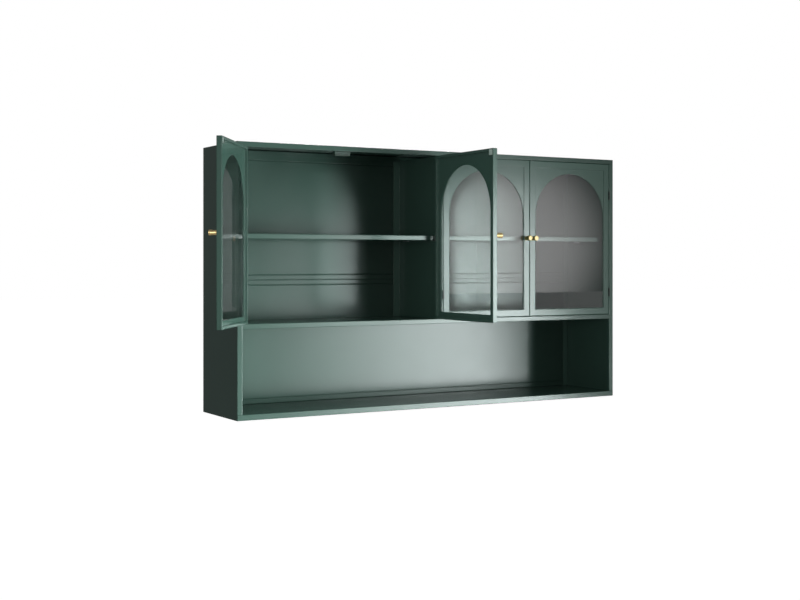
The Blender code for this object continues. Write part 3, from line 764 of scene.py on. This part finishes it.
def screw_tree():
    """Geometry Nodes that set a domed cross-recessed screw head on every point.

    A point's facing is where the head looks, and painted heads get the second material.
    """
    tree, start, end = group_tree(
        "domed_screws",
        "GeometryNodeTree",
        [
            ("Geometry", "NodeSocketGeometry", None),
            ("Head Radius", "NodeSocketFloat", 0.0034),
            ("Head Height", "NodeSocketFloat", 0.0018),
            ("Dome Radius", "NodeSocketFloat", 0.0041),
            ("Slot", "NodeSocketVector", (0.004, 0.0009, 0.002)),
            ("Cross Slot", "NodeSocketVector", (0.0009, 0.004, 0.002)),
            ("Seed", "NodeSocketInt", 7),
            ("Material", "NodeSocketMaterial", None),
            ("Painted Material", "NodeSocketMaterial", None),
        ],
        [("Geometry", "NodeSocketGeometry")],
    )
    link = tree.links.new
    given = start.outputs

    # The dome is the part of a ball that stands above the seat
    ball = add_node(tree, "GeometryNodeMeshUVSphere", {"Segments": 24, "Rings": 24})
    sink = add_node(tree, "ShaderNodeMath", operation="SUBTRACT")
    sink_place = add_node(tree, "ShaderNodeCombineXYZ")
    sunk = add_node(tree, "GeometryNodeTransform")
    seat = add_node(tree, "GeometryNodeMeshCube")
    seat_size = add_node(tree, "ShaderNodeCombineXYZ")
    seat_width = add_node(tree, "ShaderNodeMath", {1: 2.4}, operation="MULTIPLY")
    seat_height = add_node(tree, "ShaderNodeMath", {1: 3.0}, operation="MULTIPLY")
    seat_lift = add_node(tree, "ShaderNodeMath", {1: 1.5}, operation="MULTIPLY")
    seat_place = add_node(tree, "ShaderNodeCombineXYZ")
    seated = add_node(tree, "GeometryNodeTransform")
    dome = add_node(tree, "GeometryNodeMeshBoolean", operation="INTERSECT", solver="EXACT")
    link(given["Dome Radius"], ball.inputs["Radius"])
    link(given["Head Height"], sink.inputs[0])
    link(given["Dome Radius"], sink.inputs[1])
    link(sink.outputs[0], sink_place.inputs["Z"])
    link(ball.outputs["Mesh"], sunk.inputs["Geometry"])
    link(sink_place.outputs[0], sunk.inputs["Translation"])
    link(given["Head Radius"], seat_width.inputs[0])
    link(given["Head Height"], seat_height.inputs[0])
    link(given["Head Height"], seat_lift.inputs[0])
    link(seat_width.outputs[0], seat_size.inputs["X"])
    link(seat_width.outputs[0], seat_size.inputs["Y"])
    link(seat_height.outputs[0], seat_size.inputs["Z"])
    link(seat_size.outputs[0], seat.inputs["Size"])
    link(seat_lift.outputs[0], seat_place.inputs["Z"])
    link(seat.outputs["Mesh"], seated.inputs["Geometry"])
    link(seat_place.outputs[0], seated.inputs["Translation"])
    link(sunk.outputs[0], dome.inputs["Mesh 2"])
    link(seated.outputs[0], dome.inputs["Mesh 2"])

    # Two slots cross at the crown
    recess_place = add_node(tree, "ShaderNodeCombineXYZ")
    recess = add_node(tree, "GeometryNodeMeshBoolean", operation="DIFFERENCE", solver="EXACT")
    link(given["Head Height"], recess_place.inputs["Z"])
    link(dome.outputs["Mesh"], recess.inputs["Mesh 1"])
    for label in ("Slot", "Cross Slot"):
        bar = add_node(tree, "GeometryNodeMeshCube")
        raised = add_node(tree, "GeometryNodeTransform")
        link(given[label], bar.inputs["Size"])
        link(bar.outputs["Mesh"], raised.inputs["Geometry"])
        link(recess_place.outputs[0], raised.inputs["Translation"])
        link(raised.outputs[0], recess.inputs["Mesh 2"])

    # One head on each point, turned as a screwdriver happens to leave it
    facing = add_node(
        tree, "GeometryNodeInputNamedAttribute", {"Name": "facing"}, data_type="FLOAT_VECTOR"
    )
    aim = add_node(tree, "FunctionNodeAlignRotationToVector", axis="Z")
    chance = add_node(tree, "FunctionNodeRandomValue", {2: 0.0, 3: math.pi}, data_type="FLOAT")
    spin = add_node(tree, "FunctionNodeAxisAngleToRotation", {"Axis": (0.0, 0.0, 1.0)})
    turn = add_node(tree, "FunctionNodeRotateRotation", rotation_space="LOCAL")
    heads = add_node(tree, "GeometryNodeInstanceOnPoints")
    link(facing.outputs["Attribute"], aim.inputs["Vector"])
    link(given["Seed"], chance.inputs["Seed"])
    link(chance.outputs[1], spin.inputs["Angle"])
    link(aim.outputs["Rotation"], turn.inputs["Rotation"])
    link(spin.outputs["Rotation"], turn.inputs["Rotate By"])
    link(given["Geometry"], heads.inputs["Points"])
    link(recess.outputs["Mesh"], heads.inputs["Instance"])
    link(turn.outputs["Rotation"], heads.inputs["Rotation"])

    realized = add_node(tree, "GeometryNodeRealizeInstances")
    plated = add_node(tree, "GeometryNodeSetMaterial")
    painted = add_node(tree, "GeometryNodeSetMaterial")
    chosen = add_node(
        tree, "GeometryNodeInputNamedAttribute", {"Name": "painted"}, data_type="BOOLEAN"
    )
    link(heads.outputs["Instances"], realized.inputs["Geometry"])
    link(realized.outputs["Geometry"], plated.inputs["Geometry"])
    link(given["Material"], plated.inputs["Material"])
    link(plated.outputs["Geometry"], painted.inputs["Geometry"])
    link(chosen.outputs["Attribute"], painted.inputs["Selection"])
    link(given["Painted Material"], painted.inputs["Material"])
    link(painted.outputs["Geometry"], end.inputs["Geometry"])
    return tree


def set_screws(name, screws, tree, values, body, slot):
    """One mesh with the screws of a body, from (place, facing, painted) rows."""
    points = bpy.data.meshes.new(f"{name}_points")
    points.from_pydata([place for place, _, _ in screws], [], [])
    facing = points.attributes.new("facing", "FLOAT_VECTOR", "POINT")
    painted = points.attributes.new("painted", "BOOLEAN", "POINT")
    for index, (_, direction, coated) in enumerate(screws):
        facing.data[index].vector = direction
        painted.data[index].value = coated
    holder = bpy.data.objects.new(f"{name}_holder", points)
    bpy.context.scene.collection.objects.link(holder)
    modifier = holder.modifiers.new("screws", "NODES")
    modifier.node_group = tree
    for item in tree.interface.items_tree:
        if item.in_out == "INPUT" and item.name in values:
            modifier[item.identifier] = values[item.name]
    graph = bpy.context.evaluated_depsgraph_get()
    mesh = bpy.data.meshes.new_from_object(holder.evaluated_get(graph))
    mesh.name = name
    mesh.shade_smooth()
    mesh.set_sharp_from_angle(angle=math.radians(35))
    bpy.data.objects.remove(holder)
    bpy.data.meshes.remove(points)
    return add_piece(name, mesh, body, slot)


def spaced(low, high, spacing):
    """Even places between two ends, about one spacing apart."""
    count = max(1, round((high - low) / spacing))
    return [low + (high - low) * step / count for step in range(count + 1)]


def carcass_screws(sizes):
    """Behind, the screws that hold the back panels to the flanges."""
    screws = []
    inset, spacing = sizes.screw_inset, sizes.screw_spacing
    behind = Vector((0.0, 1.0, 0.0))
    rear = POST_HIGH.y + SEATING_GAP + SHEET
    columns = (PANEL_LOW.x + inset, -POST_HIGH.x + inset, POST_HIGH.x - inset, PANEL_HIGH.x - inset)
    for x in columns:
        for z in spaced(PANEL_LOW.z + sizes.seam_clear, PANEL_HIGH.z - sizes.flange_clear, spacing):
            screws.append((Vector((x, rear, z)), behind, False))
    for x in (columns[0], columns[3]):
        for z in spaced(LOWER_LOW.z + sizes.flange_clear, LOWER_HIGH.z - sizes.seam_clear, spacing):
            screws.append((Vector((x, rear, z)), behind, False))
    return screws


def knob_screw(door):
    """Inside a door, the painted screw that holds its knob."""
    knob = (KNOB_LOW + KNOB_HIGH) / 2
    place = door_place(door, (knob.x, PLATE_LOW.y + DOOR_SKIN - SUNK, knob.z))
    return place.translation, place.to_3x3() @ Vector((0.0, 1.0, 0.0)), True


class CABINET_OT_drive_screws(bpy.types.Operator):
    """Sets the screws of the back panels and the knobs"""

    bl_idname = "cabinet.drive_screws"
    bl_label = "Drive the screws"

    def execute(self, context):
        sizes, colours = context.scene.cabinet_sizes, context.scene.cabinet_colours
        plated = metal_finish("zinc_screws", colours.zinc, 0.36, 0.003, 0.001)
        painted = coat_finish("coated_screws", colours.coat)
        radius, height = sizes.screw_radius, sizes.screw_height
        slot_length, slot_width, slot_depth = 1.25 * radius, 0.26 * radius, 1.1 * height
        values = {
            "Head Radius": radius,
            "Head Height": height,
            "Dome Radius": (radius**2 + height**2) / (2 * height),
            "Slot": (slot_length, slot_width, slot_depth),
            "Cross Slot": (slot_width, slot_length, slot_depth),
            "Seed": 7,
            "Material": plated,
            "Painted Material": painted,
        }
        tree = screw_tree()
        set_screws("carcass_screws", carcass_screws(sizes), tree, values, "carcass", "hinge_steel")
        for door in DOORS:
            rows = [knob_screw(door)]
            set_screws(f"{door}_door_screw", rows, tree, values, f"{door}_door", "powder_coat")
        return {"FINISHED"}


# Studio

IMAGE_WIDTH = 800  # the photograph's frame
FOCAL_PIXELS = 1272.1
CENTRE_SHIFT = (-0.0095, -0.0491)  # of the picture's middle, in picture widths
CAMERA_PLACE = (-2.2988, -3.9812, -0.3339)
CAMERA_TURN = -30.3895  # degrees, to the right of straight on
SENSOR = 36.0

FLOOR_DROP = 1.45  # below the cabinet's underside, as over a worktop and its cupboards
FLOOR_REACH = 60.0
WINDOW_PLACE = (2.25, -4.0, -1.31)
WINDOW_AIM = (-1.22, -0.29, -1.10)
WINDOW_SIZE = (1.70, 2.65)
WINDOW_TILT = 8.5  # degrees, its foot to the right
WINDOW_SPREAD = 36.6  # degrees
WINDOW_POWER = 30.8
WINDOW_COLOUR = (0.92, 1.0, 1.0)
FITTINGS_POWER = 2.4  # of the same window on plated fittings, which mirror the full one too brightly
KNOB_SIZE = (1.70, 5.0)  # taller, because a round knob mirrors only a strip of a lamp
KNOB_POWER = 8.0
KNOB_SIDE_PLACE = (-3.5, -2.95, -0.2)  # on the other side of the knobs
KNOB_SIDE_AIM = (-0.9, -0.6, -0.3)
KNOB_SIDE_SIZE = (1.6, 5.0)
KNOB_SIDE_POWER = 9.0
KNOB_SIDE_SPREAD = 80.0
FILL_PLACE = (-2.6, -3.4, -0.2)
FILL_AIM = (-0.02, -0.47, -0.25)
FILL_SIZE = (1.0, 1.0)
FILL_SPREAD = 40.0
FILL_POWER = 2.4  # on the doors
WALL_POWER = 1.3  # of the same fill, on the inner walls that face it
REAR_PLACE = (1.9, 3.4, 2.2)
REAR_AIM = (0.0, 0.0, -0.35)
REAR_SIZE = (1.2, 1.2)
REAR_SPREAD = 60.0  # degrees
REAR_POWER = 30.0
BRIGHT_SIDE = (0.75, -0.66, 0.0)  # where the room is brightest
ROOM_DARK = 0.20  # of the light that comes from all round
ROOM_BRIGHT = 0.34
MIRRORED_DARK = 0.16  # and of the room in a mirror
MIRRORED_BRIGHT = 0.30
ROOM_RISE = (-0.7, 0.8)  # where these levels start to rise, and where they are full
GLOW_SIDE = (0.568, -0.823, 0.014)  # soft glow that the door glass reflects
GLOW_LEVEL = 4.1
GLOW_RISE = (0.9960, 0.9999)  # cosines of the angles at its rim and its core
FLOOR_GLOW = 0.88
FLOOR_RISE = (0.0, 4.0)  # metres towards the bright side


def unit(vector):
    """A vector of length 1."""
    return Vector(vector).normalized()


def directed_level(tree, coordinates, side, low, high, rise):
    """A light level that rises towards one side of the room."""
    place = add_node(tree, "ShaderNodeTexCoord")
    dot = add_node(tree, "ShaderNodeVectorMath", {1: unit(side)}, operation="DOT_PRODUCT")
    level = add_node(
        tree,
        "ShaderNodeMapRange",
        {"From Min": rise[0], "From Max": rise[1], "To Min": low, "To Max": high},
        interpolation_type="SMOOTHSTEP",
    )
    tree.links.new(place.outputs[coordinates], dot.inputs[0])
    tree.links.new(dot.outputs["Value"], level.inputs["Value"])
    return level.outputs[0]


def add_room(scene):
    """The room's soft light: white where it is seen directly or through glass, graded in mirrors."""
    world = bpy.data.worlds.new("pale_room")
    world.use_nodes = True
    scene.world = world
    tree = world.node_tree
    background = tree.nodes["Background"]
    rays = add_node(tree, "ShaderNodeLightPath")
    soft = directed_level(tree, "Generated", BRIGHT_SIDE, MIRRORED_DARK, MIRRORED_BRIGHT, ROOM_RISE)
    ambient = directed_level(tree, "Generated", BRIGHT_SIDE, ROOM_DARK, ROOM_BRIGHT, ROOM_RISE)
    glow = directed_level(tree, "Generated", GLOW_SIDE, 0.0, GLOW_LEVEL, GLOW_RISE)
    mirrored = add_node(tree, "ShaderNodeMath", operation="ADD")
    seen = add_node(tree, "ShaderNodeMath", operation="MAXIMUM")
    lit = add_node(tree, "ShaderNodeMix", data_type="FLOAT")
    level = add_node(tree, "ShaderNodeMix", {3: 1.0}, data_type="FLOAT")
    tree.links.new(soft, mirrored.inputs[0])
    tree.links.new(glow, mirrored.inputs[1])
    tree.links.new(rays.outputs["Is Glossy Ray"], lit.inputs[0])
    tree.links.new(ambient, lit.inputs[2])
    tree.links.new(mirrored.outputs[0], lit.inputs[3])
    tree.links.new(rays.outputs["Is Camera Ray"], seen.inputs[0])
    tree.links.new(rays.outputs["Is Transmission Ray"], seen.inputs[1])
    tree.links.new(seen.outputs[0], level.inputs[0])
    tree.links.new(lit.outputs[0], level.inputs[2])
    tree.links.new(level.outputs[0], background.inputs["Strength"])
    background.inputs["Color"].default_value = (1.0, 1.0, 1.0, 1.0)


def add_lamp(name, place, aim, size, power, spread, tilt=0.0, colour=(1.0, 1.0, 1.0)):
    """A soft rectangular lamp."""
    lamp = bpy.data.lights.new(name, "AREA")
    lamp.shape = "RECTANGLE"
    lamp.size, lamp.size_y = size
    lamp.energy = power
    lamp.color = colour
    lamp.spread = math.radians(spread)
    holder = bpy.data.objects.new(name, lamp)
    bpy.context.scene.collection.objects.link(holder)
    holder.location = place
    facing = (Vector(aim) - Vector(place)).to_track_quat("-Z", "Y")
    roll = Quaternion((0.0, 0.0, 1.0), math.radians(tilt))
    holder.rotation_euler = (facing @ roll).to_euler()
    return holder


def link_lamp(lamp, pieces, state):
    """Lights only some pieces with a lamp, or all but them, by the state INCLUDE or EXCLUDE."""
    chosen = bpy.data.collections.new(f"{lamp.name}_pieces")
    for piece in pieces:
        chosen.objects.link(piece)
    for item in chosen.collection_objects:
        item.light_linking.link_state = state
    lamp.light_linking.receiver_collection = chosen


def floor_finish():
    """Pale matt floor: white where it is seen directly or through glass, mirrored as the room's light is.

    It keeps the shadow of what stands over it.
    """
    finish, tree, shader = new_finish("pale_floor")
    drift = place_group(
        tree, "tone_drift", {"Colour": (0.52, 0.52, 0.52, 1.0), "Amount": 0.02, "Size": 2.0}
    )
    shader.inputs["Roughness"].default_value = 0.9
    shader.inputs["Specular IOR Level"].default_value = 0.0
    tree.links.new(drift.outputs["Colour"], shader.inputs["Base Color"])
    rays = add_node(tree, "ShaderNodeLightPath")
    mirrored = directed_level(tree, "Object", BRIGHT_SIDE, 0.0, FLOOR_GLOW, FLOOR_RISE)
    glossy = add_node(tree, "ShaderNodeMath", operation="MULTIPLY")
    seen = add_node(tree, "ShaderNodeMath", operation="MAXIMUM")
    direct = add_node(tree, "ShaderNodeMath", {1: FLOOR_GLOW}, operation="MULTIPLY")
    level = add_node(tree, "ShaderNodeMath", operation="MAXIMUM")
    glow = add_node(tree, "ShaderNodeEmission")
    lit = add_node(tree, "ShaderNodeAddShader")
    tree.links.new(rays.outputs["Is Glossy Ray"], glossy.inputs[0])
    tree.links.new(mirrored, glossy.inputs[1])
    tree.links.new(rays.outputs["Is Camera Ray"], seen.inputs[0])
    tree.links.new(rays.outputs["Is Transmission Ray"], seen.inputs[1])
    tree.links.new(seen.outputs[0], direct.inputs[0])
    tree.links.new(glossy.outputs[0], level.inputs[0])
    tree.links.new(direct.outputs[0], level.inputs[1])
    tree.links.new(level.outputs[0], glow.inputs["Strength"])
    tree.links.new(shader.outputs[0], lit.inputs[0])
    tree.links.new(glow.outputs[0], lit.inputs[1])
    tree.links.new(lit.outputs[0], tree.nodes["Material Output"].inputs["Surface"])
    return finish


def add_floor():
    """A plain pale floor, far below the hung cabinet."""
    level = cad_box[0].z - FLOOR_DROP
    mesh = bpy.data.meshes.new("floor")
    reach = FLOOR_REACH
    corners = [(-reach, -reach, level), (reach, -reach, level), (reach, reach, level), (-reach, reach, level)]
    mesh.from_pydata(corners, [], [(0, 1, 2, 3)])
    mesh.materials.append(floor_finish())
    floor = bpy.data.objects.new("floor", mesh)
    bpy.context.scene.collection.objects.link(floor)


def add_camera(scene):
    """The photograph's view."""
    data = bpy.data.cameras.new("photograph_view")
    data.sensor_fit = "HORIZONTAL"
    data.sensor_width = SENSOR
    data.lens = FOCAL_PIXELS / IMAGE_WIDTH * SENSOR
    data.shift_x, data.shift_y = CENTRE_SHIFT
    camera = bpy.data.objects.new("photograph_view", data)
    camera.location = CAMERA_PLACE
    camera.rotation_euler = (math.pi / 2, 0.0, math.radians(CAMERA_TURN))
    scene.collection.objects.link(camera)
    scene.camera = camera


class CABINET_OT_set_stage(bpy.types.Operator):
    """Sets the floor, the room's light, the lamps and the camera"""

    bl_idname = "cabinet.set_stage"
    bl_label = "Set the stage"

    def execute(self, context):
        scene = context.scene
        scene.view_settings.view_transform = "Standard"
        add_room(scene)
        add_floor()
        window = (WINDOW_PLACE, WINDOW_AIM, WINDOW_SIZE)
        look = (WINDOW_SPREAD, WINDOW_TILT, WINDOW_COLOUR)
        panes = [frame["nodes"][name] for name in nodes_in_slot("door_glass")]
        knobs = [bpy.data.objects[f"{door}_door_knob_turned"] for door in DOORS]
        strikes = [bpy.data.objects[f"{door}_door_strike_pressed"] for door in DOORS]
        plated = [part for name, part in frame["nodes"].items() if "clip" in name or "magnet" in name]
        plated += strikes
        lamp = add_lamp("window_lamp", *window, WINDOW_POWER, *look)
        link_lamp(lamp, panes + knobs + plated, "EXCLUDE")
        lamp = add_lamp("knob_lamp", WINDOW_PLACE, WINDOW_AIM, KNOB_SIZE, KNOB_POWER, *look)
        link_lamp(lamp, knobs, "INCLUDE")
        side = (KNOB_SIDE_PLACE, KNOB_SIDE_AIM, KNOB_SIDE_SIZE)
        lamp = add_lamp("knob_side_lamp", *side, KNOB_SIDE_POWER, KNOB_SIDE_SPREAD)
        link_lamp(lamp, knobs, "INCLUDE")
        lamp = add_lamp("fittings_lamp", *window, FITTINGS_POWER, *look)
        link_lamp(lamp, plated, "INCLUDE")
        fill = (FILL_PLACE, FILL_AIM, FILL_SIZE)
        lamp = add_lamp("fill_lamp", *fill, FILL_POWER, FILL_SPREAD)
        sides = ("shell", "back")
        pressings = [frame["nodes"][f"{door}_door_{side}"] for door in DOORS for side in sides]
        link_lamp(lamp, pressings + knobs + strikes, "INCLUDE")
        lamp = add_lamp("wall_lamp", *fill, WALL_POWER, FILL_SPREAD)
        walls = [frame["nodes"][name] for name in ("centre_partition", "right_side_panel")]
        link_lamp(lamp, walls, "INCLUDE")
        add_lamp("rear_lamp", REAR_PLACE, REAR_AIM, REAR_SIZE, REAR_POWER, REAR_SPREAD)
        add_camera(scene)
        return {"FINISHED"}


class CABINET_PT_sidebar(bpy.types.Panel):
    """Lists the cabinet's sizes, colours and steps"""

    bl_idname = "CABINET_PT_sidebar"
    bl_label = "Wall cabinet"
    bl_space_type = "VIEW_3D"
    bl_region_type = "UI"
    bl_category = "Cabinet"

    def draw(self, context):
        layout = self.layout
        for group in (context.scene.cabinet_sizes, context.scene.cabinet_colours):
            for name in group.bl_rna.properties.keys():
                if name not in {"rna_type", "name"}:
                    layout.prop(group, name)
        for step in STEPS:
            layout.operator(step.bl_idname)


STEPS = (
    CABINET_OT_coat_steel,
    CABINET_OT_glaze_doors,
    CABINET_OT_turn_knobs,
    CABINET_OT_finish_hinges,
    CABINET_OT_plate_clips,
    CABINET_OT_fit_catches,
    CABINET_OT_fit_strikes,
    CABINET_OT_drive_screws,
    CABINET_OT_set_stage,
)
CLASSES = (CabinetSizes, CabinetColours, *STEPS, CABINET_PT_sidebar)


def register():
    """Registers the classes and hangs the settings on the scene."""
    for cls in CLASSES:
        bpy.utils.register_class(cls)
    bpy.types.Scene.cabinet_sizes = bpy.props.PointerProperty(type=CabinetSizes)
    bpy.types.Scene.cabinet_colours = bpy.props.PointerProperty(type=CabinetColours)


def unregister():
    """Takes away what register added."""
    del bpy.types.Scene.cabinet_colours
    del bpy.types.Scene.cabinet_sizes
    for cls in reversed(CLASSES):
        bpy.utils.unregister_class(cls)


def main():
    """Registers the add-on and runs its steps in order."""
    register()
    for step in STEPS:
        area, name = step.bl_idname.split(".")
        getattr(getattr(bpy.ops, area), name)()


if __name__ == "__main__":
    main()
